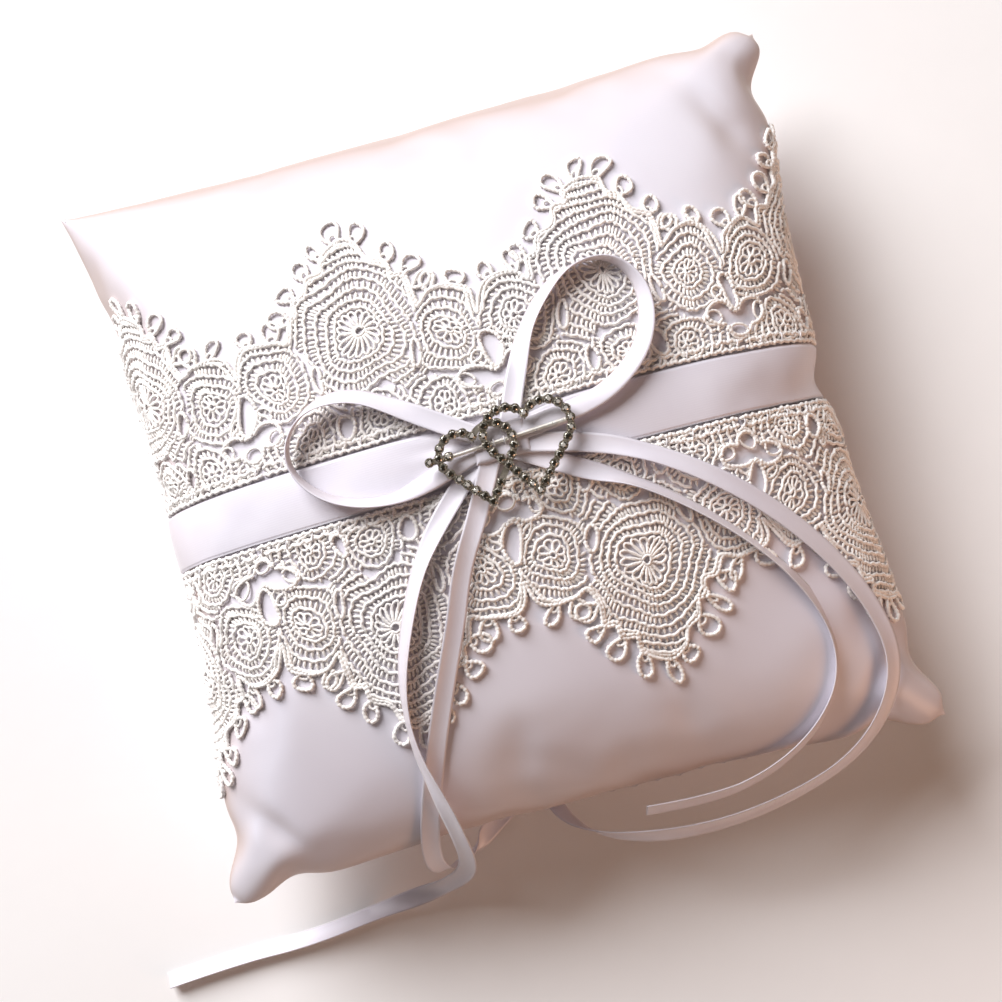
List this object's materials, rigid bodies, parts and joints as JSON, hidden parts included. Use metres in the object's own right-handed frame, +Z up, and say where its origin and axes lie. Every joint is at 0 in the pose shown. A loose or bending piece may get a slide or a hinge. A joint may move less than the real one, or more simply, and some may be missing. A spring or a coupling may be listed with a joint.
{
  "type": "ring bearer pillow",
  "caption": "Square satin ring bearer pillow with two guipure lace trims, a ribbon band, a bow with tie tails and a double heart rhinestone buckle.",
  "frame": {"origin": "middle of the pillow's footprint on the table, ribbons left out", "axes": "+Z up through the crown, +X along the centre band, +Y towards the pillow's head"},
  "size_m": [0.2222, 0.212, 0.0749],
  "materials": {
    "satin_cover": "satin weave, soft sheen",
    "fibre_wadding": "loose white polyester fibre",
    "sewing_thread": "spun polyester",
    "wide_ribbon": "double face satin ribbon",
    "guipure_lace": "corded cotton and viscose thread, ivory",
    "narrow_ribbon": "double face satin ribbon",
    "plated_metal": "bright nickel plate",
    "cut_stones": "faceted, foil backed"
  },
  "bodies": {
    "pillow": {"front_cover_panel": "satin_cover", "back_cover_panel": "satin_cover", "fibre_filling": "fibre_wadding", "seam_thread": "sewing_thread", "closing_stitches": "sewing_thread", "centre_band": "wide_ribbon", "upper_lace_trim": "guipure_lace", "lower_lace_trim": "guipure_lace", "upper_lace_stitches": "sewing_thread", "lower_lace_stitches": "sewing_thread", "buckle_thread": "sewing_thread", "bow_centre_fold": "narrow_ribbon", "bow_tack_thread": "sewing_thread", "bow_loop_left": "narrow_ribbon", "bow_loop_right": "narrow_ribbon", "bow_tail_left": "narrow_ribbon", "ring_tie_tail_left": "narrow_ribbon", "ring_tie_tail_right": "narrow_ribbon", "bow_tail_right": "narrow_ribbon"},
    "buckle": {"large_heart_frame": "plated_metal", "small_heart_frame": "plated_metal", "large_heart_cups": "plated_metal", "small_heart_cups": "plated_metal", "large_heart_stones": "cut_stones", "small_heart_stones": "cut_stones", "buckle_bar": "plated_metal"}
  },
  "joints": [
    {"name": "buckle_tilt", "type": "hinge", "parent": "pillow", "child": "buckle", "pos_m": [0.002, 0.0002, 0.0721], "axis": [0.9982, 0.0593, 0], "range_deg": [-6, 6]}
  ]
}
